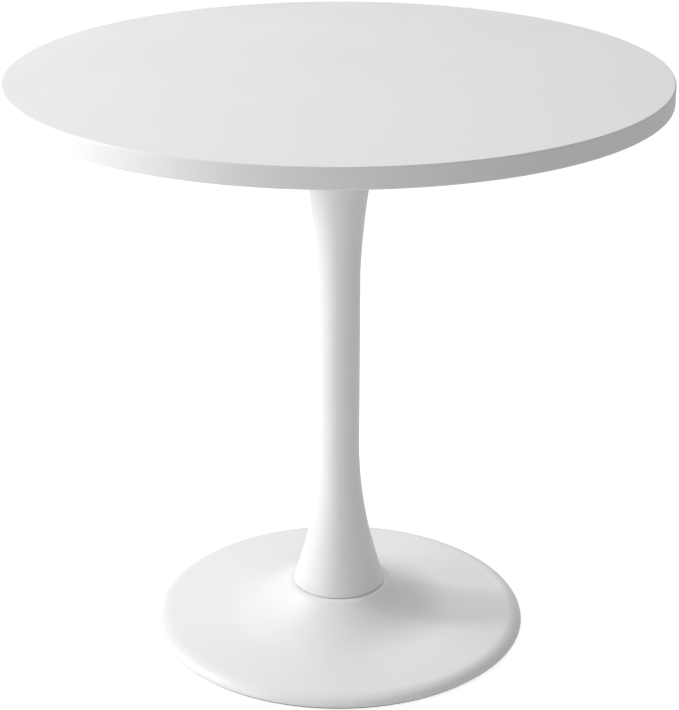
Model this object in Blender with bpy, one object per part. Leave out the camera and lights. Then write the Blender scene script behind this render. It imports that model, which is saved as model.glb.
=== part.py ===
"""Round pedestal table: a lacquered top on a trumpet column and a weighted round base.

Metres, +Z up, with the origin on the floor at the centre of the base. The table is three
sub-assemblies, each under its own empty: the base measured up from the floor, the column
measured up from its foot, and the top measured from the underside of the tabletop.
"""

import math

import bmesh
import bpy
from mathutils import Matrix

# Clearance left between pieces that touch, how far a cutter runs past a face, and the
# angle above which an edge stays sharp.
GAP = 0.0003
OVERSHOOT = 0.002
SHARP_ANGLE = math.radians(35)

# Metric fasteners: shank radius, and half the hexagon's width across its corners.
M6_SHANK = 0.003
M8_SHANK = 0.004
M6_SOCKET = 0.0023
M8_SOCKET = 0.0029
M8_HEX_HEAD = 0.0075
HEXAGON_STEP = math.radians(30)
FASTENER_SEGMENTS = 12
THREAD_CHAMFER = 0.0006

# Whole table
TABLE_HEIGHT = 0.737

# Tabletop
TOP_RADIUS = 0.400
TOP_THICKNESS = 0.025
TOP_EDGE_ROUND = 0.002
TOP_SEGMENTS = 72

# Mounting plate under the tabletop
PLATE_RADIUS = 0.140
PLATE_THICKNESS = 0.005
PLATE_CHAMFER = 0.001
PLATE_SEGMENTS = 48
TOP_SCREW_COUNT = 6
TOP_SCREW_CIRCLE = 0.122
TOP_SCREW_LENGTH = 0.016
INSERT_RADIUS = 0.0045
INSERT_LENGTH = 0.013
INSERT_HOLE_DEPTH = 0.016

# Column: a foot flare, a nearly straight waist and a head flare, with a short straight lip
# at both ends
COLUMN_WALL = 0.002
COLUMN_SEGMENTS = 32
COLUMN_LIP = 0.002
FOOT_RADIUS = 0.0600
LOWER_WAIST_RADIUS = 0.0261
UPPER_WAIST_RADIUS = 0.0269
HEAD_RADIUS = 0.0562
FOOT_FLARE_HEIGHT = 0.196
HEAD_FLARE_HEIGHT = 0.2277
FOOT_FLARE_POWER = 1.94
HEAD_FLARE_POWER = 1.51
FLARE_STEPS = 8
FLANGE_THICKNESS = 0.006
FLANGE_BORE = 0.018
COLUMN_BOLT_COUNT = 4
COLUMN_BOLT_CIRCLE = 0.035
PLATE_BOLT_LENGTH = 0.016
BASE_BOLT_LENGTH = 0.020

# Base cover: landing, shoulder, concave flank, plate, and a rim rolled down to its edge
COVER_WALL = 0.0018
COVER_SEGMENTS = 48
COVER_BORE = 0.010
LANDING_HEIGHT = 0.0542
LANDING_RADIUS = 0.0608
SHOULDER_RADIUS = 0.0110
SHOULDER_BEND = math.radians(40)
FLANK_FOOT_RADIUS = 0.155
FLANK_POWER = 2.2
FLANK_STEPS = 6
PLATE_SLOPE = 0.030
RIM_INNER_RADIUS = 0.2224
RIM_INNER_HEIGHT = 0.0152
BASE_RADIUS = 0.2414
RIM_EDGE_HEIGHT = 0.0032

# Inside the base
HUB_PLATE_THICKNESS = 0.006
HUB_OUTER_RADIUS = 0.056
HUB_INNER_RADIUS = 0.053
HUB_FLANGE_RADIUS = 0.080
HUB_FLANGE_THICKNESS = 0.004
HUB_SEGMENTS = 36
BALLAST_RADIUS = 0.2255
BALLAST_THICKNESS = 0.008
BALLAST_HEIGHT = 0.0035
BALLAST_SCREW_COUNT = 4
BALLAST_SCREW_CIRCLE = 0.067
BALLAST_SCREW_LENGTH = 0.012
RING_OUTER_RADIUS = 0.2382
RING_INNER_RADIUS = 0.2263
RING_HEIGHT = 0.0060
RING_CHAMFER = 0.0008

# Washers under the base bolts
FLAT_WASHER_RADIUS = 0.008
FLAT_WASHER_THICKNESS = 0.0016
SPRING_WASHER_RADIUS = 0.0068
SPRING_WASHER_THICKNESS = 0.002
SPRING_WASHER_SWEEP = math.radians(345)
SPRING_WASHER_RISE = 0.0004

# Levels that follow from the sizes above
TOP_UNDERSIDE = TABLE_HEIGHT - TOP_THICKNESS
COLUMN_FOOT = LANDING_HEIGHT + GAP
COLUMN_HEIGHT = TOP_UNDERSIDE - GAP - PLATE_THICKNESS - GAP - COLUMN_FOOT
HUB_TOP = LANDING_HEIGHT - COVER_WALL - GAP
HUB_PLATE_UNDERSIDE = HUB_TOP - HUB_PLATE_THICKNESS
BALLAST_TOP = BALLAST_HEIGHT + BALLAST_THICKNESS
FLANK_TOP_RADIUS = LANDING_RADIUS + SHOULDER_RADIUS * math.sin(SHOULDER_BEND)
FLANK_TOP_HEIGHT = LANDING_HEIGHT - SHOULDER_RADIUS * (1.0 - math.cos(SHOULDER_BEND))

# Colours and surface finishes: linear colour, roughness, metallic
LACQUER = ((0.80, 0.80, 0.81, 1.0), 0.35, 0.0)
POWDER_COAT = ((0.80, 0.80, 0.81, 1.0), 0.40, 0.0)
RAW_STEEL = ((0.45, 0.46, 0.47, 1.0), 0.45, 0.9)
BLACK_PAINT = ((0.05, 0.05, 0.055, 1.0), 0.55, 0.0)
ZINC = ((0.62, 0.64, 0.66, 1.0), 0.30, 1.0)
BRASS_INSERT = ((0.70, 0.52, 0.25, 1.0), 0.35, 1.0)
RUBBER = ((0.03, 0.03, 0.03, 1.0), 0.80, 0.0)


# ---------------------------------------------------------------- scene helpers


def clear_scene():
    """Remove every object that the scene starts with."""
    for thing in list(bpy.data.objects):
        bpy.data.objects.remove(thing)


def add_assembly(name, height):
    """An empty that carries one sub-assembly at its own zero level."""
    empty = bpy.data.objects.new(name, None)
    empty.location.z = height
    bpy.context.collection.objects.link(empty)
    return empty


def make_material(name, finish):
    """A Principled material from a (colour, roughness, metallic) finish."""
    colour, roughness, metallic = finish
    material = bpy.data.materials.new(name)
    material.use_nodes = True
    shader = material.node_tree.nodes["Principled BSDF"]
    shader.inputs["Base Color"].default_value = colour
    shader.inputs["Roughness"].default_value = roughness
    shader.inputs["Metallic"].default_value = metallic
    return material


def add_object(name, mesh, parent, location=(0.0, 0.0, 0.0)):
    """Place a mesh in the scene under its sub-assembly."""
    thing = bpy.data.objects.new(name, mesh)
    thing.parent = parent
    thing.location = location
    bpy.context.collection.objects.link(thing)
    return thing


def add_copies(name, mesh, parent, centres, height):
    """One object per centre, named name_1 and up, all sharing one mesh."""
    for number, (x, y) in enumerate(centres, start=1):
        add_object(f"{name}_{number}", mesh, parent, (x, y, height))


def circle_points(radius, count, start=0.0):
    """Evenly spaced (x, y) points on a circle."""
    angles = [start + math.tau * step / count for step in range(count)]
    return [(radius * math.cos(angle), radius * math.sin(angle)) for angle in angles]


def column_bolt_points():
    """The square of M8 bolts used at both ends of the column."""
    return circle_points(COLUMN_BOLT_CIRCLE, COLUMN_BOLT_COUNT, math.pi / 4)


def ballast_screw_points():
    """The M6 screws between ballast and hub, on the X and Y axes."""
    return circle_points(BALLAST_SCREW_CIRCLE, BALLAST_SCREW_COUNT)


def top_screw_points():
    """The M6 screws through the mounting plate into the tabletop."""
    return circle_points(TOP_SCREW_CIRCLE, TOP_SCREW_COUNT, math.pi / 6)


# ---------------------------------------------------------------- turned shapes


def spin_outline(bm, outline, segments, is_ring):
    """Spin (radius, height) points once about Z; a ring's outline closes on itself."""
    verts = [bm.verts.new((radius, 0.0, height)) for radius, height in outline]
    pairs = list(zip(verts, verts[1:]))
    if is_ring:
        pairs.append((verts[-1], verts[0]))
    edges = [bm.edges.new(pair) for pair in pairs]
    bmesh.ops.spin(
        bm,
        geom=verts + edges,
        cent=(0.0, 0.0, 0.0),
        axis=(0.0, 0.0, 1.0),
        angle=math.tau,
        steps=segments,
        use_merge=True,
    )


def fill_open_ends(bm):
    """Close each open circle or end with one face."""
    rim = [edge for edge in bm.edges if edge.is_boundary]
    bmesh.ops.holes_fill(bm, edges=rim, sides=0)


def pull_to_hexagon(bm, corner_radius):
    """Move every second point of the rings at this radius in to the hexagon's flats."""
    for vert in bm.verts:
        radius = math.hypot(vert.co.x, vert.co.y)
        step = round(math.atan2(vert.co.y, vert.co.x) / HEXAGON_STEP)
        if math.isclose(radius, corner_radius, abs_tol=1e-5) and step % 2:
            vert.co.x *= math.cos(HEXAGON_STEP)
            vert.co.y *= math.cos(HEXAGON_STEP)


def finish_mesh(bm, name, finish):
    """Turn a bmesh into a smooth-shaded mesh with its own material."""
    mesh = bpy.data.meshes.new(name)
    bm.to_mesh(mesh)
    bm.free()
    mesh.shade_smooth()
    mesh.set_sharp_from_angle(angle=SHARP_ANGLE)
    mesh.materials.append(make_material(name, finish))
    return mesh


def ring_mesh(name, outline, segments, finish):
    """A turned piece with a hole through its middle."""
    bm = bmesh.new()
    spin_outline(bm, outline, segments, is_ring=True)
    bmesh.ops.recalc_face_normals(bm, faces=bm.faces)
    return finish_mesh(bm, name, finish)


def solid_mesh(name, outline, segments, finish, hexagon=None):
    """A turned piece that is solid on its axis, with a hexagon at one radius if asked."""
    bm = bmesh.new()
    spin_outline(bm, outline, segments, is_ring=False)
    fill_open_ends(bm)
    bmesh.ops.recalc_face_normals(bm, faces=bm.faces)
    if hexagon:
        pull_to_hexagon(bm, hexagon)
    return finish_mesh(bm, name, finish)


def shell_mesh(name, outline, segments, finish):
    """A turned surface with no thickness, facing out where its outline runs downwards."""
    bm = bmesh.new()
    spin_outline(bm, outline, segments, is_ring=False)
    return finish_mesh(bm, name, finish)


def add_wall(thing, thickness):
    """Thicken a turned surface inwards."""
    wall = thing.modifiers.new("wall", "SOLIDIFY")
    wall.thickness = thickness
    wall.offset = -1.0
    wall.use_even_offset = True


def drill(host, outline, centres):
    """Cut the same turned hole into the host at each centre."""
    bm = bmesh.new()
    for x, y in centres:
        start = len(bm.verts)
        spin_outline(bm, outline, FASTENER_SEGMENTS, is_ring=False)
        bm.verts.ensure_lookup_table()
        bmesh.ops.translate(bm, verts=bm.verts[start:], vec=(x, y, 0.0))
    fill_open_ends(bm)
    bmesh.ops.recalc_face_normals(bm, faces=bm.faces)
    mesh = bpy.data.meshes.new(f"{host.name}_holes")
    bm.to_mesh(mesh)
    bm.free()
    cutter = add_object(mesh.name, mesh, host.parent, host.location)
    cutter.hide_render = True
    cutter.display_type = "WIRE"
    holes = host.modifiers.new("holes", "BOOLEAN")
    holes.operation = "DIFFERENCE"
    holes.solver = "EXACT"
    holes.object = cutter


def through_hole(radius, low, high):
    """The outline of a plain round hole through the material between two heights."""
    return [(radius, low - OVERSHOOT), (radius, high + OVERSHOOT)]


def disc_outline(radius, low, high, chamfer):
    """The outline of a solid disc with a small chamfer on both edges."""
    return [
        (radius - chamfer, low),
        (radius, low + chamfer),
        (radius, high - chamfer),
        (radius - chamfer, high),
    ]


def arc(centre, radii, start, end, steps):
    """Points on an ellipse from one angle to another, both ends included."""
    angles = [start + (end - start) * step / steps for step in range(steps + 1)]
    return [
        (centre[0] + radii[0] * math.cos(angle), centre[1] + radii[1] * math.sin(angle))
        for angle in angles
    ]


# ---------------------------------------------------------------- fasteners


def hex_bolt_mesh(name, length):
    """M8 hex bolt, head down, with its seat at zero."""
    head_height = 0.0053
    face_radius = 0.0062
    corner_chamfer = 0.0006
    outline = [
        (M8_SHANK - THREAD_CHAMFER, length),
        (M8_SHANK, length - THREAD_CHAMFER),
        (M8_SHANK, 0.0),
        (M8_HEX_HEAD, 0.0),
        (M8_HEX_HEAD, corner_chamfer - head_height),
        (face_radius, -head_height),
    ]
    return solid_mesh(name, outline, FASTENER_SEGMENTS, ZINC, M8_HEX_HEAD)


def socket_screw_mesh(name, length):
    """M6 button-head socket screw, head down, with its seat at zero."""
    head_radius = 0.00525
    dome_radius = 0.0049
    dome_height = 0.0020
    face_radius = 0.0033
    head_height = 0.0033
    socket_depth = 0.0020
    outline = [
        (M6_SHANK - THREAD_CHAMFER, length),
        (M6_SHANK, length - THREAD_CHAMFER),
        (M6_SHANK, 0.0),
        (head_radius, 0.0),
        (dome_radius, -dome_height),
        (face_radius, -head_height),
        (M6_SOCKET, -head_height),
        (M6_SOCKET, socket_depth - head_height),
    ]
    return solid_mesh(name, outline, FASTENER_SEGMENTS, ZINC, M6_SOCKET)


def countersunk_mesh(name, shank, socket, length):
    """Countersunk socket screw with its flat head at zero and its shank pointing down."""
    head = 2.0 * shank
    socket_depth = 0.5 * shank
    outline = [
        (socket, -socket_depth),
        (socket, 0.0),
        (head, 0.0),
        (shank, -shank),
        (shank, THREAD_CHAMFER - length),
        (shank - THREAD_CHAMFER, -length),
    ]
    return solid_mesh(name, outline, FASTENER_SEGMENTS, ZINC, socket)


def countersunk_hole(shank, face, depth, way):
    """The hole for a countersunk head flush with a face; way is -1 down or +1 up."""
    head = 2.0 * shank + GAP
    return [
        (head + OVERSHOOT, face - way * OVERSHOOT),
        (head, face),
        (shank + GAP, face + way * shank),
        (shank + GAP, face + way * (depth + OVERSHOOT)),
    ]


# ---------------------------------------------------------------- top assembly


def build_tabletop(assembly):
    """The board, with rounded edges and blind holes for its inserts."""
    flat = TOP_RADIUS - TOP_EDGE_ROUND
    rounding = (TOP_EDGE_ROUND, TOP_EDGE_ROUND)
    lower = arc((flat, TOP_EDGE_ROUND), rounding, -math.pi / 2, 0.0, 3)
    upper = arc((flat, TOP_THICKNESS - TOP_EDGE_ROUND), rounding, 0.0, math.pi / 2, 3)
    mesh = solid_mesh("tabletop", lower + upper, TOP_SEGMENTS, LACQUER)
    tabletop = add_object("tabletop", mesh, assembly)
    blind_hole = [
        (INSERT_RADIUS + GAP, -OVERSHOOT),
        (INSERT_RADIUS + GAP, INSERT_HOLE_DEPTH),
    ]
    drill(tabletop, blind_hole, top_screw_points())


def build_inserts(assembly):
    """Threaded inserts, flush with the tabletop's underside."""
    chamfer = 0.0005
    bore = M6_SHANK + GAP
    outline = [
        (bore, 0.0),
        (INSERT_RADIUS - chamfer, 0.0),
        (INSERT_RADIUS, chamfer),
        (INSERT_RADIUS, INSERT_LENGTH - chamfer),
        (INSERT_RADIUS - chamfer, INSERT_LENGTH),
        (bore, INSERT_LENGTH),
    ]
    mesh = ring_mesh("threaded_insert", outline, FASTENER_SEGMENTS, BRASS_INSERT)
    add_copies("threaded_insert", mesh, assembly, top_screw_points(), 0.0)


def build_top_plate(assembly):
    """The mounting plate, with its countersinks facing the tabletop."""
    high = -GAP
    low = high - PLATE_THICKNESS
    outline = disc_outline(PLATE_RADIUS, low, high, PLATE_CHAMFER)
    mesh = solid_mesh("top_plate", outline, PLATE_SEGMENTS, POWDER_COAT)
    plate = add_object("top_plate", mesh, assembly)
    drill(plate, through_hole(M6_SHANK + GAP, low, high), top_screw_points())
    sunk = countersunk_hole(M8_SHANK, high, PLATE_THICKNESS, -1)
    drill(plate, sunk, column_bolt_points())


def build_top_fasteners(assembly):
    """Screws up into the tabletop, and bolts down into the column."""
    screw = socket_screw_mesh("tabletop_screw", TOP_SCREW_LENGTH)
    seat = -GAP - PLATE_THICKNESS - GAP
    add_copies("tabletop_screw", screw, assembly, top_screw_points(), seat)
    bolt = countersunk_mesh("plate_bolt", M8_SHANK, M8_SOCKET, PLATE_BOLT_LENGTH)
    add_copies("plate_bolt", bolt, assembly, column_bolt_points(), -GAP)


# ---------------------------------------------------------------- column assembly


def column_radius(height):
    """The column's outer radius at a height above its foot."""
    height = min(max(height, COLUMN_LIP), COLUMN_HEIGHT - COLUMN_LIP)
    head_start = COLUMN_HEIGHT - HEAD_FLARE_HEIGHT
    foot_share = max(0.0, 1.0 - height / FOOT_FLARE_HEIGHT)
    head_share = max(0.0, (height - head_start) / HEAD_FLARE_HEIGHT)
    waist_share = (height - FOOT_FLARE_HEIGHT) / (head_start - FOOT_FLARE_HEIGHT)
    waist_share = min(1.0, max(0.0, waist_share))
    waist = LOWER_WAIST_RADIUS + (UPPER_WAIST_RADIUS - LOWER_WAIST_RADIUS) * waist_share
    foot = (FOOT_RADIUS - LOWER_WAIST_RADIUS) * foot_share**FOOT_FLARE_POWER
    head = (HEAD_RADIUS - UPPER_WAIST_RADIUS) * head_share**HEAD_FLARE_POWER
    return waist + foot + head


def build_column_shell(assembly):
    """The trumpet tube."""
    foot_step = (FOOT_FLARE_HEIGHT - COLUMN_LIP) / FLARE_STEPS
    head_step = (HEAD_FLARE_HEIGHT - COLUMN_LIP) / FLARE_STEPS
    head_start = COLUMN_HEIGHT - HEAD_FLARE_HEIGHT
    steps = range(FLARE_STEPS + 1)
    foot = [COLUMN_LIP + foot_step * step for step in steps]
    head = [head_start + head_step * step for step in steps]
    heights = [0.0] + foot + head + [COLUMN_HEIGHT]
    outline = [(column_radius(height), height) for height in reversed(heights)]
    mesh = shell_mesh("column_shell", outline, COLUMN_SEGMENTS, POWDER_COAT)
    shell = add_object("column_shell", mesh, assembly)
    add_wall(shell, COLUMN_WALL)


def build_column_flange(assembly, name, low, narrow_end):
    """A threaded disc welded inside one end of the column."""
    high = low + FLANGE_THICKNESS
    radius = column_radius(narrow_end) - COLUMN_WALL - 2.0 * GAP
    chamfer = 0.0005
    outline = [
        (FLANGE_BORE, low),
        (radius - chamfer, low),
        (radius, low + chamfer),
        (radius, high - chamfer),
        (radius - chamfer, high),
        (FLANGE_BORE, high),
    ]
    mesh = ring_mesh(name, outline, COLUMN_SEGMENTS, RAW_STEEL)
    flange = add_object(name, mesh, assembly)
    drill(flange, through_hole(M8_SHANK + GAP, low, high), column_bolt_points())


# ---------------------------------------------------------------- base assembly


def plate_height(radius):
    """The height of the cover's gently sloping plate, carried on under the hump."""
    return RIM_INNER_HEIGHT + (RIM_INNER_RADIUS - radius) * PLATE_SLOPE


def flank_height(radius):
    """The height of the hump's concave flank, which runs out into the plate."""
    span = FLANK_FOOT_RADIUS - FLANK_TOP_RADIUS
    share = (FLANK_FOOT_RADIUS - radius) / span
    rise = FLANK_TOP_HEIGHT - plate_height(FLANK_TOP_RADIUS)
    return plate_height(radius) + rise * share**FLANK_POWER


def cover_outline():
    """The cover's outer side from its bore, over the hump and rim, to the sheet's edge."""
    upright = math.pi / 2
    shoulder_centre = (LANDING_RADIUS, LANDING_HEIGHT - SHOULDER_RADIUS)
    shoulder_radii = (SHOULDER_RADIUS, SHOULDER_RADIUS)
    shoulder = arc(shoulder_centre, shoulder_radii, upright, upright - SHOULDER_BEND, 2)
    flank_step = (FLANK_FOOT_RADIUS - FLANK_TOP_RADIUS) / FLANK_STEPS
    radii = [FLANK_TOP_RADIUS + flank_step * step for step in range(1, FLANK_STEPS + 1)]
    flank = [(radius, flank_height(radius)) for radius in radii]
    rim_radii = (BASE_RADIUS - RIM_INNER_RADIUS, RIM_INNER_HEIGHT - RIM_EDGE_HEIGHT)
    rim = arc((RIM_INNER_RADIUS, RIM_EDGE_HEIGHT), rim_radii, upright, 0.0, 8)
    return [(COVER_BORE, LANDING_HEIGHT)] + shoulder + flank + rim


def build_base_cover(assembly):
    """The spun steel cover."""
    mesh = shell_mesh("base_cover", cover_outline(), COVER_SEGMENTS, POWDER_COAT)
    cover = add_object("base_cover", mesh, assembly)
    add_wall(cover, COVER_WALL)
    hole = through_hole(M8_SHANK + GAP, LANDING_HEIGHT - COVER_WALL, LANDING_HEIGHT)
    drill(cover, hole, column_bolt_points())


def build_base_hub(assembly):
    """The top-hat that carries the landing down to the ballast."""
    flange_low = BALLAST_TOP + GAP
    flange_high = flange_low + HUB_FLANGE_THICKNESS
    outline = [
        (HUB_OUTER_RADIUS, HUB_TOP),
        (HUB_OUTER_RADIUS, flange_high),
        (HUB_FLANGE_RADIUS, flange_high),
        (HUB_FLANGE_RADIUS, flange_low),
        (HUB_INNER_RADIUS, flange_low),
        (HUB_INNER_RADIUS, HUB_PLATE_UNDERSIDE),
    ]
    mesh = solid_mesh("base_hub", outline, HUB_SEGMENTS, RAW_STEEL)
    hub = add_object("base_hub", mesh, assembly)
    bolt_hole = through_hole(M8_SHANK + GAP, HUB_PLATE_UNDERSIDE, HUB_TOP)
    drill(hub, bolt_hole, column_bolt_points())
    screw_hole = through_hole(M6_SHANK + GAP, flange_low, flange_high)
    drill(hub, screw_hole, ballast_screw_points())


def build_ballast(assembly):
    """The steel weight, with an opening to reach the base bolts."""
    chamfer = 0.001
    outline = [
        (HUB_INNER_RADIUS, BALLAST_HEIGHT),
        (BALLAST_RADIUS - chamfer, BALLAST_HEIGHT),
        (BALLAST_RADIUS, BALLAST_HEIGHT + chamfer),
        (BALLAST_RADIUS, BALLAST_TOP - chamfer),
        (BALLAST_RADIUS - chamfer, BALLAST_TOP),
        (HUB_INNER_RADIUS, BALLAST_TOP),
    ]
    mesh = ring_mesh("ballast_disc", outline, COVER_SEGMENTS, BLACK_PAINT)
    ballast = add_object("ballast_disc", mesh, assembly)
    sunk = countersunk_hole(M6_SHANK, BALLAST_HEIGHT, BALLAST_THICKNESS, 1)
    drill(ballast, sunk, ballast_screw_points())


def build_floor_ring(assembly):
    """The rubber ring that the table stands on, just inside the cover's rim."""
    outline = [
        (RING_INNER_RADIUS + RING_CHAMFER, 0.0),
        (RING_OUTER_RADIUS - RING_CHAMFER, 0.0),
        (RING_OUTER_RADIUS, RING_CHAMFER),
        (RING_OUTER_RADIUS, RING_HEIGHT - RING_CHAMFER),
        (RING_OUTER_RADIUS - RING_CHAMFER, RING_HEIGHT),
        (RING_INNER_RADIUS, RING_HEIGHT),
        (RING_INNER_RADIUS, RING_CHAMFER),
    ]
    mesh = ring_mesh("floor_ring", outline, COVER_SEGMENTS, RUBBER)
    add_object("floor_ring", mesh, assembly)


def build_base_bolts(assembly):
    """The hex bolts that hold the column, each with a flat and a spring washer."""
    flat_top = HUB_PLATE_UNDERSIDE - GAP
    spring_top = flat_top - FLAT_WASHER_THICKNESS - GAP
    bolt_seat = spring_top - SPRING_WASHER_THICKNESS - SPRING_WASHER_RISE - GAP
    points = column_bolt_points()
    flat = [
        (M8_SHANK + GAP, -FLAT_WASHER_THICKNESS),
        (FLAT_WASHER_RADIUS, -FLAT_WASHER_THICKNESS),
        (FLAT_WASHER_RADIUS, 0.0),
        (M8_SHANK + GAP, 0.0),
    ]
    mesh = ring_mesh("flat_washer", flat, FASTENER_SEGMENTS, ZINC)
    add_copies("flat_washer", mesh, assembly, points, flat_top)
    add_copies("spring_washer", spring_washer_mesh(), assembly, points, spring_top)
    bolt = hex_bolt_mesh("base_bolt", BASE_BOLT_LENGTH)
    add_copies("base_bolt", bolt, assembly, points, bolt_seat)


def spring_washer_mesh():
    """A split ring, one end lower than the other."""
    bm = bmesh.new()
    low = -SPRING_WASHER_THICKNESS
    corners = [
        (M8_SHANK + GAP, low),
        (SPRING_WASHER_RADIUS, low),
        (SPRING_WASHER_RADIUS, 0.0),
        (M8_SHANK + GAP, 0.0),
    ]
    section = bm.faces.new([bm.verts.new((radius, 0.0, height)) for radius, height in corners])
    bmesh.ops.spin(
        bm,
        geom=[section],
        cent=(0.0, 0.0, 0.0),
        axis=(0.0, 0.0, 1.0),
        dvec=(0.0, 0.0, -SPRING_WASHER_RISE / FASTENER_SEGMENTS),
        angle=SPRING_WASHER_SWEEP,
        steps=FASTENER_SEGMENTS,
    )
    bmesh.ops.recalc_face_normals(bm, faces=bm.faces)
    return finish_mesh(bm, "spring_washer", ZINC)


def build_ballast_screws(assembly):
    """Countersunk screws from below, heads flush with the ballast."""
    mesh = countersunk_mesh("ballast_screw", M6_SHANK, M6_SOCKET, BALLAST_SCREW_LENGTH)
    mesh.transform(Matrix.Rotation(math.pi, 4, "X"))
    points = ballast_screw_points()
    add_copies("ballast_screw", mesh, assembly, points, BALLAST_HEIGHT)


# ---------------------------------------------------------------- table


def build_table():
    """The three sub-assemblies, from the floor up."""
    clear_scene()
    base = add_assembly("base_assembly", 0.0)
    build_floor_ring(base)
    build_ballast(base)
    build_base_hub(base)
    build_base_cover(base)
    build_ballast_screws(base)
    build_base_bolts(base)
    column = add_assembly("column_assembly", COLUMN_FOOT)
    build_column_shell(column)
    build_column_flange(column, "column_bottom_flange", 0.0, FLANGE_THICKNESS)
    top_flange_low = COLUMN_HEIGHT - FLANGE_THICKNESS
    build_column_flange(column, "column_top_flange", top_flange_low, top_flange_low)
    top = add_assembly("top_assembly", TOP_UNDERSIDE)
    build_top_plate(top)
    build_top_fasteners(top)
    build_inserts(top)
    build_tabletop(top)


build_table()
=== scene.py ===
"""The looks of the round pedestal table: fine turned meshes, paint, metal and rubber.

Metres, +Z up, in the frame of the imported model. Each piece takes its levels and outer sizes
from the box of the CAD node that it stands for, and its outline from the proportions named
below. Azimuth 0 is the camera's side of the table, and 90 is its left.
"""

import math

import bmesh
import bpy
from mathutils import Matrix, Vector


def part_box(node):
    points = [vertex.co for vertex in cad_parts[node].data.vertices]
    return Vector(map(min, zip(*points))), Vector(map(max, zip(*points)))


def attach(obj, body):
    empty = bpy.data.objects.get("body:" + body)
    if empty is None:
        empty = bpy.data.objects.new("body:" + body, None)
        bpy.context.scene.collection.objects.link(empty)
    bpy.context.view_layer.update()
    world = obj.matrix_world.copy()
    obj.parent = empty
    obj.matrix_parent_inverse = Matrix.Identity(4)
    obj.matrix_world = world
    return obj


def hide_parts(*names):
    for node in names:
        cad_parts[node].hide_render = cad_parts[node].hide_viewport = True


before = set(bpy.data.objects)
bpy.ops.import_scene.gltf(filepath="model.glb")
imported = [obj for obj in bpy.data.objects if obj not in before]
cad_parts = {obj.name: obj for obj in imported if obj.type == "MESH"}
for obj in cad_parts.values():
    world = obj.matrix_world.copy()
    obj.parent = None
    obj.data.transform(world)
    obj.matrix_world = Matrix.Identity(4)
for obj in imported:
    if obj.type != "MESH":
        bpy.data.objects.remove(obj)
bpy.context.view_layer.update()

BODY = "root"

# Camera, fitted to the view of the photograph
CAMERA_LENS = 102.94
CAMERA_SIDE = 0.0007
CAMERA_DISTANCE = 2.3833
CAMERA_HEIGHT = 1.3269
CAMERA_PITCH = math.radians(21.85)

# Studio
WORLD_STRENGTH = 0.39
FLOOR_SIZE = 30.0
FLOOR_COLOUR = (0.9, 0.9, 0.9)
FLOOR_SEEN_COLOUR = (0.45, 0.45, 0.45)
FLOOR_GLOW = 0.8
LIGHT_DISTANCE = 3.0
LIGHT_AIM = 0.4

# Each soft light: name, azimuth and elevation in degrees, size, and watts
SOFTBOXES = (
    ("key", 93, 22, 0.5, 33.0),
    ("high_left", 102, 42, 1.2, 22.5),
    ("front_left", 60, 20, 1.6, 22.7),
    ("behind", 180, 45, 2.4, 24.5),
)

# Fineness of the turned meshes
LARGE_SEGMENTS = 288
COLUMN_SEGMENTS = 144
HOLE_SEGMENTS = 48
FASTENER_SEGMENTS = 48
THREAD_ROWS = 5
ROUND_STEPS = 8
FILLET_STEPS = 6
SHARP_ANGLE = math.radians(35)
SAME_RADIUS = 1e-6
OVERSHOOT = 0.002
CLEARANCE = 0.0003

# Levels between which a noise mostly stays
NOISE_LOW = 0.3
NOISE_HIGH = 0.7

# Edges of machined and pressed pieces
FINE_EDGE = 0.0003
BROKEN_EDGE = 0.0005
PRESSED_EDGE = 0.001

# Metric fasteners: shank radius, thread pitch, and half the socket's width across corners
M6_SHANK = 0.003
M6_PITCH = 0.001
M6_SOCKET = 0.0023
M8_SHANK = 0.004
M8_PITCH = 0.00125
M8_SOCKET = 0.0029
M8_HEX_HEAD = 0.0075
THREAD_DEPTH_SHARE = 0.55
THREAD_CHAMFER = 0.0006

# Tabletop and mounting plate
EDGE_ROUND = 0.002
PLATE_ROUND = 0.001
TOP_SCREW_CIRCLE = 0.122
INSERT_PITCH = 0.0022
INSERT_THREAD = 0.0006
INSERT_HOLE_DEPTH = 0.016

# Column
COLUMN_LIP = 0.002
COLUMN_WALL = 0.002
HEAD_ROUND = 0.0007
FOOT_ROUND = 0.0015
FOOT_RADIUS = 0.0600
LOWER_WAIST_RADIUS = 0.0261
UPPER_WAIST_RADIUS = 0.0269
HEAD_RADIUS = 0.0562
FOOT_FLARE_HEIGHT = 0.196
HEAD_FLARE_HEIGHT = 0.2277
FOOT_FLARE_POWER = 1.94
HEAD_FLARE_POWER = 1.51
FLARE_STEPS = 48
COLUMN_BOLT_CIRCLE = 0.035
FLANGE_BORE = 0.018

# Base cover
COVER_WALL = 0.0018
COVER_BORE = 0.010
LANDING_RADIUS = 0.0608
SHOULDER_RADIUS = 0.0110
SHOULDER_BEND = math.radians(40)
SHOULDER_STEPS = 10
FLANK_FOOT_RADIUS = 0.155
FLANK_POWER = 2.2
FLANK_STEPS = 48
PLATE_SLOPE = 0.030
PLATE_STEPS = 8
RIM_INNER_RADIUS = 0.2224
RIM_INNER_HEIGHT = 0.0152
RIM_EDGE_HEIGHT = 0.0032
RIM_STEPS = 24

# Inside the base
HUB_OUTER_RADIUS = 0.056
HUB_INNER_RADIUS = 0.053
HUB_PLATE_THICKNESS = 0.006
HUB_FLANGE_THICKNESS = 0.004
HUB_FILLET = 0.0025
BALLAST_SCREW_CIRCLE = 0.067
RING_INNER_RADIUS = 0.2263
RING_GROOVES = 3
GROOVE_DEPTH = 0.0008
GROOVE_SLOPE_SHARE = 0.2
SPRING_SWEEP = math.radians(345)
SPRING_RISE = 0.0004


# ---------------------------------------------------------------- mesh helpers


def arc(centre, radii, start, end, steps):
    """Points on an ellipse from one angle to another, both ends included."""
    angles = [start + (end - start) * step / steps for step in range(steps + 1)]
    return [
        (centre[0] + radii[0] * math.cos(angle), centre[1] + radii[1] * math.sin(angle))
        for angle in angles
    ]


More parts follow.
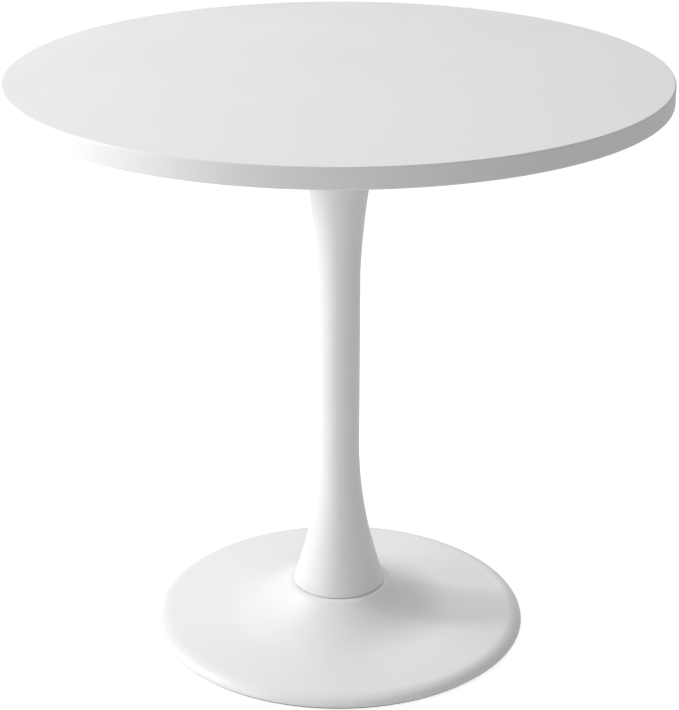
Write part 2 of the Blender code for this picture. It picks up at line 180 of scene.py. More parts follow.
def corner(radius, height, rounding, start_degrees, steps=4):
    """A quarter turn, anticlockwise, that rounds an outline's outer corner."""
    start = math.radians(start_degrees)
    side = -1.0 if 90 <= start_degrees % 360 < 270 else 1.0
    rise = 1.0 if start_degrees % 360 < 180 else -1.0
    centre = (radius - side * rounding, height - rise * rounding)
    return arc(centre, (rounding, rounding), start, start + math.pi / 2, steps)


def spin_outline(bm, outline, segments, is_ring):
    """Spin (radius, height) points once about Z; a ring's outline closes on itself."""
    verts = [bm.verts.new((radius, 0.0, height)) for radius, height in outline]
    pairs = list(zip(verts, verts[1:]))
    if is_ring:
        pairs.append((verts[-1], verts[0]))
    edges = [bm.edges.new(pair) for pair in pairs]
    bmesh.ops.spin(
        bm,
        geom=verts + edges,
        cent=(0.0, 0.0, 0.0),
        axis=(0.0, 0.0, 1.0),
        angle=math.tau,
        steps=segments,
        use_merge=True,
    )


def fill_open_ends(bm):
    """Close each open circle with one face."""
    rims = [edge for edge in bm.edges if edge.is_boundary]
    bmesh.ops.holes_fill(bm, edges=rims, sides=0)


def turned(outline, segments, is_ring):
    """A closed turned bmesh with its faces pointing out."""
    bm = bmesh.new()
    spin_outline(bm, outline, segments, is_ring)
    if not is_ring:
        fill_open_ends(bm)
    bmesh.ops.recalc_face_normals(bm, faces=bm.faces)
    return bm


def shape_hexagon(bm, corner_radius):
    """Pull the rings at this radius in to a hexagon's flats."""
    flat = corner_radius * math.cos(math.pi / 6)
    for vert in bm.verts:
        radius = math.hypot(vert.co.x, vert.co.y)
        if math.isclose(radius, corner_radius, abs_tol=SAME_RADIUS):
            turn = math.atan2(vert.co.y, vert.co.x) % (math.pi / 3) - math.pi / 6
            scale = flat / math.cos(turn) / radius
            vert.co.x *= scale
            vert.co.y *= scale


def thread_levels(low, high, pitch):
    """Evenly spaced heights for the rings of a thread, both ends left out."""
    count = round((high - low) / pitch * THREAD_ROWS)
    return [low + (high - low) * step / count for step in range(1, count)]


def cut_thread(bm, crest, low, high, pitch, depth):
    """Cut a helical groove into the rings of a plain shank, fading out at both ends."""
    for vert in bm.verts:
        radius = math.hypot(vert.co.x, vert.co.y)
        inside = low < vert.co.z < high
        if inside and math.isclose(radius, crest, abs_tol=SAME_RADIUS):
            turn = math.atan2(vert.co.y, vert.co.x) / math.tau
            phase = (vert.co.z / pitch - turn) % 1.0
            fade = min(1.0, (vert.co.z - low) / pitch, (high - vert.co.z) / pitch)
            groove = depth * fade * abs(2.0 * phase - 1.0)
            vert.co.x *= (radius - groove) / radius
            vert.co.y *= (radius - groove) / radius


def make_mesh(bm, name, material):
    """Turn a bmesh into a smooth-shaded mesh."""
    mesh = bpy.data.meshes.new(name)
    bm.to_mesh(mesh)
    bm.free()
    mesh.shade_smooth()
    mesh.set_sharp_from_angle(angle=SHARP_ANGLE)
    mesh.materials.append(material)
    return mesh


def show(name, mesh, node, location=(0.0, 0.0, 0.0)):
    """Show a mesh as a piece of the table, in place of one CAD node."""
    piece = bpy.data.objects.new(name, mesh)
    piece.location = location
    bpy.context.collection.objects.link(piece)
    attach(piece, BODY)
    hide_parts(node)
    return piece


def show_copies(name, mesh, node, centres, height):
    """Show one copy of a mesh at each centre, for the CAD nodes node_1 and up."""
    for number, (x, y) in enumerate(centres, start=1):
        copy = show(f"{name}_{number}", mesh, f"{node}_{number}", (x, y, height))
        weigh_normals(copy)


def drill(piece, outline, centres):
    """Cut the same turned hole into the piece at each centre."""
    bm = bmesh.new()
    for x, y in centres:
        start = len(bm.verts)
        spin_outline(bm, outline, HOLE_SEGMENTS, is_ring=False)
        bm.verts.ensure_lookup_table()
        bmesh.ops.translate(bm, verts=bm.verts[start:], vec=(x, y, 0.0))
    fill_open_ends(bm)
    bmesh.ops.recalc_face_normals(bm, faces=bm.faces)
    mesh = bpy.data.meshes.new(f"{piece.name}_holes")
    bm.to_mesh(mesh)
    bm.free()
    cutter = bpy.data.objects.new(mesh.name, mesh)
    bpy.context.collection.objects.link(cutter)
    cutter.hide_render = True
    cutter.display_type = "WIRE"
    holes = piece.modifiers.new("holes", "BOOLEAN")
    holes.object = cutter


def weigh_normals(piece):
    """Keep wide faces flat where a small rounding meets them."""
    normals = piece.modifiers.new("normals", "WEIGHTED_NORMAL")
    normals.keep_sharp = True


def circle_points(radius, count, start=0.0):
    """Evenly spaced (x, y) points on a circle."""
    angles = [start + math.tau * step / count for step in range(count)]
    return [(radius * math.cos(angle), radius * math.sin(angle)) for angle in angles]


def through_hole(radius, low, high):
    """The outline of a plain round hole through the material between two heights."""
    return [(radius, low - OVERSHOOT), (radius, high + OVERSHOOT)]


def countersunk_hole(shank, face, far, way):
    """The hole for a countersunk head flush with a face; way is -1 down or +1 up."""
    head = 2.0 * shank + CLEARANCE
    return [
        (head, face - way * OVERSHOOT),
        (head, face),
        (shank + CLEARANCE, face + way * shank),
        (shank + CLEARANCE, far + way * OVERSHOOT),
    ]


COLUMN_BOLTS = circle_points(COLUMN_BOLT_CIRCLE, 4, math.pi / 4)
TOP_SCREWS = circle_points(TOP_SCREW_CIRCLE, 6, math.pi / 6)
BALLAST_SCREWS = circle_points(BALLAST_SCREW_CIRCLE, 4)


# ---------------------------------------------------------------- materials


class Finish:
    """A Principled material that is built up node by node in object space."""

    def __init__(self, name):
        self.material = bpy.data.materials.new(name)
        self.material.use_nodes = True
        self.nodes = self.material.node_tree.nodes
        self.links = self.material.node_tree.links
        self.shader = self.nodes["Principled BSDF"]
        self.place = self.nodes.new("ShaderNodeTexCoord").outputs["Object"]

    def set(self, **values):
        """Set the shader's own sockets, with underscores for the spaces in their names."""
        for name, value in values.items():
            self.shader.inputs[name.replace("_", " ")].default_value = value

    def noise(self, scale, detail=2.0):
        """An even noise in object space."""
        node = self.nodes.new("ShaderNodeTexNoise")
        node.inputs["Scale"].default_value = scale
        node.inputs["Detail"].default_value = detail
        self.links.new(self.place, node.inputs["Vector"])
        return node.outputs["Fac"]

    def rings(self, scale, distortion):
        """Turning marks: fine circles about the Z axis."""
        node = self.nodes.new("ShaderNodeTexWave")
        node.wave_type = "RINGS"
        node.rings_direction = "Z"
        node.inputs["Scale"].default_value = scale
        node.inputs["Distortion"].default_value = distortion
        node.inputs["Detail Scale"].default_value = 3.0
        self.links.new(self.place, node.inputs["Vector"])
        return node.outputs["Fac"]

    def shades(self, pattern, low, high, colours):
        """Spread colours evenly over the part of a pattern between two levels."""
        node = self.nodes.new("ShaderNodeValToRGB")
        stops = node.color_ramp.elements
        while len(stops) < len(colours):
            stops.new(0.5)
        for number, colour in enumerate(colours):
            stops[number].position = low + (high - low) * number / (len(colours) - 1)
            stops[number].color = (*colour, 1.0)
        self.links.new(pattern, node.inputs["Fac"])
        self.links.new(node.outputs["Color"], self.shader.inputs["Base Color"])

    def gloss(self, pattern, smooth, rough):
        """Let the roughness follow a pattern."""
        node = self.nodes.new("ShaderNodeMapRange")
        node.inputs["From Min"].default_value = NOISE_LOW
        node.inputs["From Max"].default_value = NOISE_HIGH
        node.inputs["To Min"].default_value = smooth
        node.inputs["To Max"].default_value = rough
        self.links.new(pattern, node.inputs["Value"])
        self.links.new(node.outputs["Result"], self.shader.inputs["Roughness"])

    def relief(self, *layers):
        """Raise the surface by each (pattern, height in metres)."""
        previous = None
        for pattern, height in layers:
            node = self.nodes.new("ShaderNodeBump")
            node.inputs["Distance"].default_value = height
            self.links.new(pattern, node.inputs["Height"])
            if previous:
                self.links.new(previous.outputs["Normal"], node.inputs["Normal"])
            previous = node
        self.links.new(previous.outputs["Normal"], self.shader.inputs["Normal"])


def make_lacquer():
    """Satin white lacquer: almost even, with a very faint roller texture."""
    finish = Finish("satin_lacquer")
    cloud = finish.noise(7.0, 3.0)
    colours = [(0.785, 0.796, 0.793), (0.797, 0.806, 0.804)]
    finish.shades(cloud, NOISE_LOW, NOISE_HIGH, colours)
    finish.gloss(cloud, 0.32, 0.38)
    finish.relief((finish.noise(450.0), 0.000008))
    return finish.material


def make_powder_coat():
    """White powder coat: satin, with a fine orange peel."""
    finish = Finish("white_powder_coat")
    cloud = finish.noise(12.0, 3.0)
    colours = [(0.785, 0.796, 0.795), (0.797, 0.806, 0.806)]
    finish.shades(cloud, NOISE_LOW, NOISE_HIGH, colours)
    finish.gloss(cloud, 0.36, 0.42)
    finish.relief((finish.noise(520.0, 1.0), 0.00002))
    return finish.material


def make_raw_steel():
    """Turned mild steel under a film of oil, mottled where it has begun to tarnish."""
    finish = Finish("turned_steel")
    finish.set(Metallic=1.0)
    finish.shades(finish.noise(38.0, 6.0), 0.35, 0.68, [(0.30, 0.29, 0.28), (0.45, 0.46, 0.47)])
    marks = finish.rings(260.0, 0.4)
    finish.gloss(finish.noise(60.0, 5.0), 0.34, 0.52)
    finish.relief((marks, 0.00001), (finish.noise(900.0), 0.000006))
    return finish.material


def make_black_paint():
    """Matt black primer over a cast surface, with dusty and thin patches."""
    finish = Finish("black_primer")
    cloud = finish.noise(22.0, 6.0)
    finish.shades(cloud, 0.4, 0.72, [(0.045, 0.045, 0.05), (0.075, 0.074, 0.074)])
    finish.gloss(cloud, 0.50, 0.68)
    finish.relief((finish.noise(160.0, 4.0), 0.00012), (finish.noise(900.0), 0.00002))
    return finish.material


def make_zinc():
    """Bright zinc plate with a faint blue and straw passivation."""
    finish = Finish("zinc_plate")
    finish.set(Metallic=1.0)
    colours = [(0.56, 0.60, 0.66), (0.64, 0.655, 0.665), (0.68, 0.66, 0.60)]
    finish.shades(finish.noise(160.0, 3.0), 0.35, 0.65, colours)
    finish.gloss(finish.noise(700.0, 4.0), 0.22, 0.36)
    finish.relief((finish.noise(2500.0), 0.000004))
    return finish.material


def make_insert_metal():
    """Yellow zinc on the threaded inserts, with an oily bloom."""
    finish = Finish("yellow_zinc")
    finish.set(Metallic=1.0)
    colours = [(0.70, 0.44, 0.20), (0.72, 0.54, 0.26), (0.62, 0.60, 0.36)]
    finish.shades(finish.noise(220.0, 3.0), 0.35, 0.65, colours)
    finish.gloss(finish.noise(700.0, 4.0), 0.28, 0.42)
    finish.relief((finish.noise(2500.0), 0.000005))
    return finish.material


def make_rubber():
    """Matt black rubber, a little greyer where it is dusty, with a fine moulded grain."""
    finish = Finish("black_rubber")
    finish.shades(finish.noise(45.0, 5.0), 0.4, 0.7, [(0.022, 0.022, 0.023), (0.045, 0.044, 0.043)])
    finish.gloss(finish.noise(120.0, 3.0), 0.72, 0.88)
    finish.relief((finish.noise(1400.0, 3.0), 0.00005))
    return finish.material


def make_floor_material():
    """A pale studio floor, lit up for the camera alone so that it stays near white."""
    finish = Finish("studio_floor")
    finish.set(Base_Color=(*FLOOR_COLOUR, 1.0), Roughness=0.9, Specular_IOR_Level=0.2)
    seen = finish.nodes.new("ShaderNodeBsdfPrincipled")
    seen.inputs["Base Color"].default_value = (*FLOOR_SEEN_COLOUR, 1.0)
    seen.inputs["Roughness"].default_value = 0.9
    seen.inputs["Specular IOR Level"].default_value = 0.0
    seen.inputs["Emission Color"].default_value = (1.0, 1.0, 1.0, 1.0)
    seen.inputs["Emission Strength"].default_value = FLOOR_GLOW
    path = finish.nodes.new("ShaderNodeLightPath")
    choice = finish.nodes.new("ShaderNodeMixShader")
    finish.links.new(path.outputs["Is Camera Ray"], choice.inputs["Fac"])
    finish.links.new(finish.shader.outputs["BSDF"], choice.inputs[1])
    finish.links.new(seen.outputs["BSDF"], choice.inputs[2])
    output = finish.nodes["Material Output"]
    finish.links.new(choice.outputs["Shader"], output.inputs["Surface"])
    return finish.material


# ---------------------------------------------------------------- fasteners


def threaded_mesh(name, material, outline, shank, span, pitch, hexagon=None):
    """A turned fastener with a thread between two heights, and a hexagon if asked."""
    bm = turned(outline, FASTENER_SEGMENTS, is_ring=False)
    cut_thread(bm, shank, *span, pitch, pitch * THREAD_DEPTH_SHARE)
    if hexagon:
        shape_hexagon(bm, hexagon)
    return make_mesh(bm, name, material)


def shank_outline(shank, tip, root, pitch):
    """A shank from its chamfered tip to its root, ringed for a thread."""
    way = math.copysign(1.0, root - tip)
    chamfer_end = tip + way * THREAD_CHAMFER
    low, high = sorted((chamfer_end, root))
    levels = thread_levels(low, high, pitch)
    if way < 0:
        levels.reverse()
    points = [(shank - THREAD_CHAMFER, tip), (shank, chamfer_end)]
    return points + [(shank, level) for level in levels] + [(shank, root)], (low, high)


def button_screw_mesh(material, length):
    """M6 button-head screw, head down, with its seat at zero and a hexagon socket."""
    head_radius, head_height = 0.00525, 0.0033
    face_radius, socket_depth, drill_point = 0.0031, 0.0020, 0.0004
    shank, span = shank_outline(M6_SHANK, length, 0.0, M6_PITCH)
    dome_radii = (head_radius - face_radius, head_height - BROKEN_EDGE)
    dome = arc((face_radius, -BROKEN_EDGE), dome_radii, 0.0, -math.pi / 2, ROUND_STEPS)
    floor = socket_depth - head_height
    socket = [
        (M6_SOCKET + FINE_EDGE, -head_height),
        (M6_SOCKET, FINE_EDGE - head_height),
        (M6_SOCKET, floor),
        (M6_SOCKET / 2, floor + drill_point),
    ]
    outline = shank + [(head_radius, 0.0)] + dome + socket
    return threaded_mesh("button_screw", material, outline, M6_SHANK, span, M6_PITCH, M6_SOCKET)


def hex_bolt_mesh(material, length):
    """M8 hex bolt, head down, with its seat at zero."""
    head_height, face_radius, chamfer = 0.0053, 0.0062, 0.0006
    dish_radius, dish_floor, dish_depth = 0.8 * face_radius, 0.75 * face_radius, 0.0002
    shank, span = shank_outline(M8_SHANK, length, 0.0, M8_PITCH)
    head = [
        (face_radius, 0.0),
        (face_radius, -FINE_EDGE),
        (M8_HEX_HEAD, -FINE_EDGE),
        (M8_HEX_HEAD, chamfer - head_height),
        (face_radius, -head_height),
        (dish_radius, -head_height),
        (dish_floor, dish_depth - head_height),
    ]
    outline = shank + head
    return threaded_mesh("hex_bolt", material, outline, M8_SHANK, span, M8_PITCH, M8_HEX_HEAD)


def countersunk_mesh(name, material, shank, pitch, socket, length, way):
    """Countersunk socket screw, its head flush at zero; way is -1 shank down or +1 up."""
    head, depth = 2.0 * shank, shank / 2
    body, span = shank_outline(shank, way * length, way * shank, pitch)
    top = [
        (head - FINE_EDGE, way * FINE_EDGE),
        (head - FINE_EDGE, 0.0),
        (socket + FINE_EDGE, 0.0),
        (socket, way * FINE_EDGE),
        (socket, way * depth),
        (socket / 2, way * (depth + FINE_EDGE)),
    ]
    return threaded_mesh(name, material, body + top, shank, span, pitch, socket)


def flat_washer_mesh(material, inner, outer, thickness):
    """A stamped washer: rounded where the punch went in, sharp where it came out."""
    outline = [(inner, -thickness), (outer, -thickness)]
    outline += corner(outer, 0.0, FINE_EDGE, 0)
    outline += corner(inner, 0.0, FINE_EDGE, 90)
    return make_mesh(turned(outline, FASTENER_SEGMENTS, is_ring=True), "washer", material)


def spring_washer_mesh(material, inner, outer, thickness):
    """A split ring, one end lower than the other."""
    bm = bmesh.new()
    rounding = 0.0002
    outline = []
    for radius, height, start in (
        (outer, 0.0, 0),
        (inner, 0.0, 90),
        (inner, -thickness, 180),
        (outer, -thickness, 270),
    ):
        outline += corner(radius, height, rounding, start, 2)
    section = bm.faces.new([bm.verts.new((radius, 0.0, height)) for radius, height in outline])
    bmesh.ops.spin(
        bm,
        geom=[section],
        cent=(0.0, 0.0, 0.0),
        axis=(0.0, 0.0, 1.0),
        dvec=(0.0, 0.0, -SPRING_RISE / FASTENER_SEGMENTS),
        angle=SPRING_SWEEP,
        steps=FASTENER_SEGMENTS,
    )
    bmesh.ops.recalc_face_normals(bm, faces=bm.faces)
    return make_mesh(bm, "lock_washer", material)


# ---------------------------------------------------------------- top


def build_tabletop(material):
    """The lacquered board with its eased edges, and blind holes for the inserts."""
    low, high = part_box("tabletop")
    flat = high.x - EDGE_ROUND
    rounding = (EDGE_ROUND, EDGE_ROUND)
    lower = arc((flat, low.z + EDGE_ROUND), rounding, -math.pi / 2, 0.0, ROUND_STEPS)
    upper = arc((flat, high.z - EDGE_ROUND), rounding, 0.0, math.pi / 2, ROUND_STEPS)
    bm = turned(lower + upper, LARGE_SEGMENTS, is_ring=False)
    board = show("tabletop_board", make_mesh(bm, "tabletop_board", material), "tabletop")
    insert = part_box("threaded_insert_1")
    radius = (insert[1].x - insert[0].x) / 2 + CLEARANCE
    blind = [(radius, low.z - OVERSHOOT), (radius, low.z + INSERT_HOLE_DEPTH)]
    drill(board, blind, TOP_SCREWS)
    weigh_normals(board)


def build_inserts(material):
    """Screw-in inserts with a coarse wood thread outside, and a plain bore inside for the machine
    screw.
    """
    low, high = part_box("threaded_insert_1")
    outer = (high.x - low.x) / 2
    bore = M6_SHANK + CLEARANCE
    length = high.z - low.z
    chamfer = THREAD_CHAMFER
    levels = thread_levels(0.0, length, INSERT_PITCH / 2)
    outline = [(outer - chamfer, 0.0), (outer, chamfer)]
    outline += [(outer, level) for level in levels if chamfer < level < length - chamfer]
    outline += [(outer, length - chamfer), (outer - chamfer, length)]
    outline += [(bore + FINE_EDGE, length), (bore, length - FINE_EDGE)]
    outline += [(bore, FINE_EDGE), (bore + FINE_EDGE, 0.0)]
    bm = turned(outline, FASTENER_SEGMENTS, is_ring=True)
    cut_thread(bm, outer, chamfer, length - chamfer, INSERT_PITCH, INSERT_THREAD)
    mesh = make_mesh(bm, "wood_insert", material)
    show_copies("wood_insert", mesh, "threaded_insert", TOP_SCREWS, low.z)


def build_top_plate(material):
    """The mounting plate, with rounded edges, screw holes and countersinks."""
    low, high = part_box("top_plate")
    outline = corner(high.x, low.z, PLATE_ROUND, 270) + corner(high.x, high.z, PLATE_ROUND, 0)
    bm = turned(outline, LARGE_SEGMENTS, is_ring=False)
    plate = show("mounting_plate", make_mesh(bm, "mounting_plate", material), "top_plate")
    drill(plate, through_hole(M6_SHANK + CLEARANCE, low.z, high.z), TOP_SCREWS)
    drill(plate, countersunk_hole(M8_SHANK, high.z, low.z, -1), COLUMN_BOLTS)
    weigh_normals(plate)


def build_top_fasteners(material):
    """Screws up into the tabletop, and bolts down into the column."""
    plate_low, plate_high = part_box("top_plate")
    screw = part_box("tabletop_screw_1")
    seat = plate_low.z - CLEARANCE
    mesh = button_screw_mesh(material, screw[1].z - seat)
    show_copies("button_screw", mesh, "tabletop_screw", TOP_SCREWS, seat)
    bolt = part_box("plate_bolt_1")
    length = plate_high.z - bolt[0].z
    mesh = countersunk_mesh("sunk_bolt", material, M8_SHANK, M8_PITCH, M8_SOCKET, length, -1)
    show_copies("sunk_bolt", mesh, "plate_bolt", COLUMN_BOLTS, plate_high.z)


# ---------------------------------------------------------------- column


def column_radius(height, whole):
    """The column's outer radius at a height above its foot; whole is its full height."""
    height = min(max(height, COLUMN_LIP), whole - COLUMN_LIP)
    head_start = whole - HEAD_FLARE_HEIGHT
    foot_share = max(0.0, 1.0 - height / FOOT_FLARE_HEIGHT)
    head_share = max(0.0, (height - head_start) / HEAD_FLARE_HEIGHT)
    waist_share = (height - FOOT_FLARE_HEIGHT) / (head_start - FOOT_FLARE_HEIGHT)
    waist_share = min(1.0, max(0.0, waist_share))
    waist = LOWER_WAIST_RADIUS + (UPPER_WAIST_RADIUS - LOWER_WAIST_RADIUS) * waist_share
    foot = (FOOT_RADIUS - LOWER_WAIST_RADIUS) * foot_share**FOOT_FLARE_POWER
    head = (HEAD_RADIUS - UPPER_WAIST_RADIUS) * head_share**HEAD_FLARE_POWER
    return waist + foot + head


def column_outline(low, high):
    """The column's closed section: outer side down, foot end, inner side up, head end."""
    whole = high - low
    foot_step = (FOOT_FLARE_HEIGHT - COLUMN_LIP) / FLARE_STEPS
    head_step = (HEAD_FLARE_HEIGHT - COLUMN_LIP) / FLARE_STEPS
    head_start = whole - HEAD_FLARE_HEIGHT
    steps = range(FLARE_STEPS + 1)
    heights = [COLUMN_LIP + foot_step * step for step in steps]
    heights += [head_start + head_step * step for step in steps]
    inward = [(column_radius(height, whole) - COLUMN_WALL, low + height) for height in heights]
    outward = [(radius + COLUMN_WALL, height) for radius, height in reversed(inward)]
    head_end = corner(outward[0][0], high, HEAD_ROUND, 0)
    foot_end = corner(outward[-1][0], low, FOOT_ROUND, 270, ROUND_STEPS)
    inner_foot = [(inward[0][0], low)]
    inner_head = [(inward[-1][0], high)]
    return inner_foot + inward + inner_head + head_end[::-1] + outward + foot_end[::-1]


def build_column(material):
    """The trumpet column."""
    low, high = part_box("column_shell")
    bm = turned(column_outline(low.z, high.z), COLUMN_SEGMENTS, is_ring=True)
    show("trumpet_column", make_mesh(bm, "trumpet_column", material), "column_shell")


def build_column_flange(material, name, node):
    """A thick disc inside one end of the column, bored and drilled for the bolts."""
    low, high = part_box(node)
    outline = []
    for radius, height, start in (
        (high.x, low.z, 270),
        (high.x, high.z, 0),
        (FLANGE_BORE, high.z, 90),
        (FLANGE_BORE, low.z, 180),
    ):
        outline += corner(radius, height, BROKEN_EDGE, start)
    bm = turned(outline, COLUMN_SEGMENTS, is_ring=True)
    flange = show(name, make_mesh(bm, name, material), node)
    drill(flange, through_hole(M8_SHANK + CLEARANCE, low.z, high.z), COLUMN_BOLTS)


# ---------------------------------------------------------------- base


def plate_height(radius):
    """The height of the cover's gently sloping plate, carried on under the hump."""
    return RIM_INNER_HEIGHT + (RIM_INNER_RADIUS - radius) * PLATE_SLOPE


def cover_outline(landing_height, base_radius):
    """The cover's outer side from its bore, over the hump and rim, to the sheet's edge."""
    upright = math.pi / 2
    shoulder_centre = (LANDING_RADIUS, landing_height - SHOULDER_RADIUS)
    shoulder_radii = (SHOULDER_RADIUS, SHOULDER_RADIUS)
    shoulder = arc(shoulder_centre, shoulder_radii, upright, upright - SHOULDER_BEND, SHOULDER_STEPS)
    flank_top, flank_top_height = shoulder[-1]
    span = FLANK_FOOT_RADIUS - flank_top
    rise = flank_top_height - plate_height(flank_top)
    flank = []
    for step in range(1, FLANK_STEPS + 1):
        share = 1.0 - step / FLANK_STEPS
        radius = FLANK_FOOT_RADIUS - span * share
        flank.append((radius, plate_height(radius) + rise * share**FLANK_POWER))
    plate_step = (RIM_INNER_RADIUS - FLANK_FOOT_RADIUS) / PLATE_STEPS
    radii = [FLANK_FOOT_RADIUS + plate_step * step for step in range(1, PLATE_STEPS)]
    plate = [(radius, plate_height(radius)) for radius in radii]
    rim_radii = (base_radius - RIM_INNER_RADIUS, RIM_INNER_HEIGHT - RIM_EDGE_HEIGHT)
    rim = arc((RIM_INNER_RADIUS, RIM_EDGE_HEIGHT), rim_radii, upright, 0.0, RIM_STEPS)
    return [(COVER_BORE, landing_height)] + shoulder + flank + plate + rim


def build_cover(material):
    """The spun base cover."""
    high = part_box("base_cover")[1]
    bm = bmesh.new()
    spin_outline(bm, cover_outline(high.z, high.x), LARGE_SEGMENTS, is_ring=False)
    cover = show("spun_cover", make_mesh(bm, "spun_cover", material), "base_cover")
    wall = cover.modifiers.new("wall", "SOLIDIFY")
    wall.thickness = COVER_WALL
    wall.offset = -1.0
    wall.use_even_offset = True
    drill(cover, through_hole(M8_SHANK + CLEARANCE, high.z - COVER_WALL, high.z), COLUMN_BOLTS)


def build_hub(material):
    """The pressed top-hat between landing and ballast, with a fillet at its flange."""
    low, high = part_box("base_hub")
    flange_high = low.z + HUB_FLANGE_THICKNESS
    plate_low = high.z - HUB_PLATE_THICKNESS
    fillet_centre = (HUB_OUTER_RADIUS + HUB_FILLET, flange_high + HUB_FILLET)
    fillet_radii = (HUB_FILLET, HUB_FILLET)
    outline = corner(HUB_OUTER_RADIUS, high.z, PRESSED_EDGE, 0)[::-1]
    outline += arc(fillet_centre, fillet_radii, math.pi, 1.5 * math.pi, FILLET_STEPS)
    outline += corner(high.x, flange_high, BROKEN_EDGE, 0)[::-1]
    outline += corner(high.x, low.z, BROKEN_EDGE, 270)[::-1]
    outline += [(HUB_INNER_RADIUS + BROKEN_EDGE, low.z), (HUB_INNER_RADIUS, low.z + BROKEN_EDGE)]
    inner_centre = (HUB_INNER_RADIUS - HUB_FILLET, plate_low - HUB_FILLET)
    outline += arc(inner_centre, fillet_radii, 0.0, math.pi / 2, FILLET_STEPS)
    bm = turned(outline, COLUMN_SEGMENTS, is_ring=False)
    hub = show("pressed_hub", make_mesh(bm, "pressed_hub", material), "base_hub")
    drill(hub, through_hole(M8_SHANK + CLEARANCE, plate_low, high.z), COLUMN_BOLTS)
    drill(hub, through_hole(M6_SHANK + CLEARANCE, low.z, flange_high), BALLAST_SCREWS)
    weigh_normals(hub)


def build_ballast(material):
    """The weight, a cut steel disc with broken edges."""
    low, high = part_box("ballast_disc")
    outline = []
    for radius, height, start in (
        (high.x, low.z, 270),
        (high.x, high.z, 0),
        (HUB_INNER_RADIUS, high.z, 90),
        (HUB_INNER_RADIUS, low.z, 180),
    ):
        outline += corner(radius, height, PRESSED_EDGE, start)
    bm = turned(outline, LARGE_SEGMENTS, is_ring=True)
    disc = show("steel_weight", make_mesh(bm, "steel_weight", material), "ballast_disc")
    drill(disc, countersunk_hole(M6_SHANK, low.z, high.z, 1), BALLAST_SCREWS)
    weigh_normals(disc)


def build_floor_ring(material):
    """The rubber ring, with grooves round the face that grips the floor."""
    low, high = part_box("floor_ring")
    inner = RING_INNER_RADIUS
    rounding = 0.0008
    outline = corner(high.x, low.z, rounding, 270) + corner(high.x, high.z, rounding, 0)
    outline += corner(inner, high.z, FINE_EDGE, 90) + corner(inner, low.z, rounding, 180)
    width = high.x - inner - 2.0 * rounding
    pitch = width / (2 * RING_GROOVES + 1)
    slope = pitch * GROOVE_SLOPE_SHARE
    for number in range(RING_GROOVES):
        start = inner + rounding + pitch * (2 * number + 1)
        outline += [
            (start, low.z),
            (start + slope, low.z + GROOVE_DEPTH),
            (start + pitch - slope, low.z + GROOVE_DEPTH),
            (start + pitch, low.z),
        ]
    bm = turned(outline, LARGE_SEGMENTS, is_ring=True)
    show("grip_ring", make_mesh(bm, "grip_ring", material), "floor_ring")


def build_base_fasteners(material):
    """Hex bolts with their washers, and the countersunk screws through the weight."""
    hole = M8_SHANK + CLEARANCE
    low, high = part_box("flat_washer_1")
    mesh = flat_washer_mesh(material, hole, (high.x - low.x) / 2, high.z - low.z)
    show_copies("washer", mesh, "flat_washer", COLUMN_BOLTS, high.z)
    low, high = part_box("spring_washer_1")
    thickness = high.z - low.z - SPRING_RISE
    mesh = spring_washer_mesh(material, hole, (high.x - low.x) / 2, thickness)
    show_copies("lock_washer", mesh, "spring_washer", COLUMN_BOLTS, high.z)
    seat = low.z - CLEARANCE
    mesh = hex_bolt_mesh(material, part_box("base_bolt_1")[1].z - seat)
    show_copies("hex_bolt", mesh, "base_bolt", COLUMN_BOLTS, seat)
    low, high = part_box("ballast_screw_1")
    length = high.z - low.z
    mesh = countersunk_mesh("sunk_screw", material, M6_SHANK, M6_PITCH, M6_SOCKET, length, 1)
    show_copies("sunk_screw", mesh, "ballast_screw", BALLAST_SCREWS, low.z)


# ---------------------------------------------------------------- studio


def add_camera():
    """The camera, level from side to side and looking down at the table."""
    data = bpy.data.cameras.new("camera")
    data.lens = CAMERA_LENS
    camera = bpy.data.objects.new("camera", data)
    camera.location = (CAMERA_SIDE, -CAMERA_DISTANCE, CAMERA_HEIGHT)
    camera.rotation_euler = (math.pi / 2 - CAMERA_PITCH, 0.0, 0.0)
    bpy.context.collection.objects.link(camera)
    bpy.context.scene.camera = camera


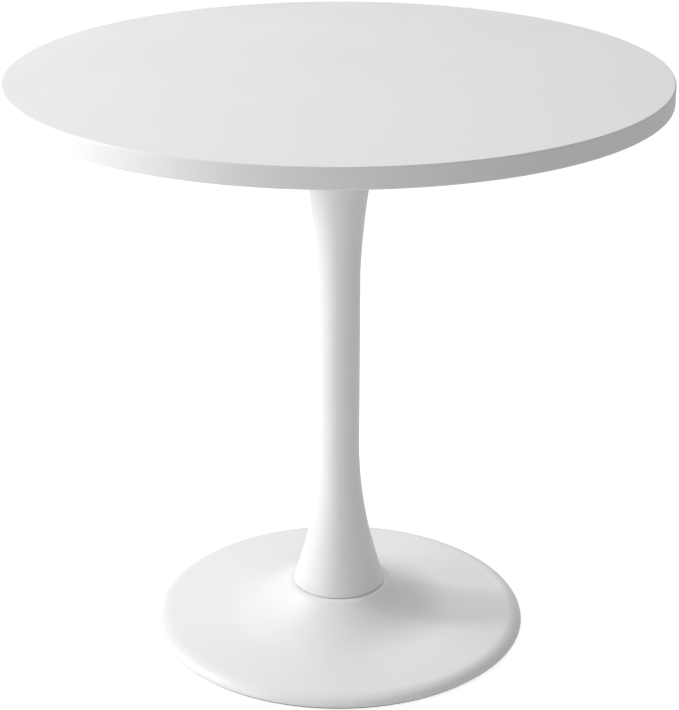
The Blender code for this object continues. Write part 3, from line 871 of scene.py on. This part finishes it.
def add_floor():
    """A wide pale floor under the floor ring."""
    bm = bmesh.new()
    bmesh.ops.create_grid(bm, x_segments=1, y_segments=1, size=FLOOR_SIZE)
    mesh = bpy.data.meshes.new("studio_floor")
    bm.to_mesh(mesh)
    bm.free()
    mesh.materials.append(make_floor_material())
    floor = bpy.data.objects.new("studio_floor", mesh)
    bpy.context.collection.objects.link(floor)


def add_softbox(name, azimuth, elevation, size, watts):
    """A square soft light aimed at the table."""
    side, up = math.radians(azimuth), math.radians(elevation)
    out = Vector((-math.sin(side) * math.cos(up), -math.cos(side) * math.cos(up), math.sin(up)))
    data = bpy.data.lights.new(name, "AREA")
    data.size = size
    data.energy = watts
    light = bpy.data.objects.new(name, data)
    light.location = Vector((0.0, 0.0, LIGHT_AIM)) + out * LIGHT_DISTANCE
    light.rotation_euler = (-out).to_track_quat("-Z", "Y").to_euler()
    bpy.context.collection.objects.link(light)


def add_world():
    """An even white surround, brighter to the camera than it lights the table."""
    world = bpy.data.worlds.new("studio")
    world.use_nodes = True
    nodes, links = world.node_tree.nodes, world.node_tree.links
    nodes["Background"].inputs["Color"].default_value = (1.0, 1.0, 1.0, 1.0)
    path = nodes.new("ShaderNodeLightPath")
    strength = nodes.new("ShaderNodeMapRange")
    strength.name = "strength"
    strength.inputs["To Min"].default_value = WORLD_STRENGTH
    strength.inputs["To Max"].default_value = 1.0
    links.new(path.outputs["Is Camera Ray"], strength.inputs["Value"])
    links.new(strength.outputs["Result"], nodes["Background"].inputs["Strength"])
    bpy.context.scene.world = world


def build_studio():
    """Floor, camera and plain soft light."""
    add_camera()
    add_floor()
    add_world()
    for softbox in SOFTBOXES:
        add_softbox(*softbox)
    bpy.context.scene.view_settings.view_transform = "Standard"


def build_table():
    """Every piece of the table, from the floor up."""
    lacquer, powder_coat = make_lacquer(), make_powder_coat()
    steel, zinc = make_raw_steel(), make_zinc()
    build_floor_ring(make_rubber())
    build_ballast(make_black_paint())
    build_hub(steel)
    build_cover(powder_coat)
    build_base_fasteners(zinc)
    build_column_flange(steel, "foot_flange", "column_bottom_flange")
    build_column(powder_coat)
    build_column_flange(steel, "head_flange", "column_top_flange")
    build_top_plate(powder_coat)
    build_top_fasteners(zinc)
    build_inserts(make_insert_metal())
    build_tabletop(lacquer)


build_studio()
build_table()
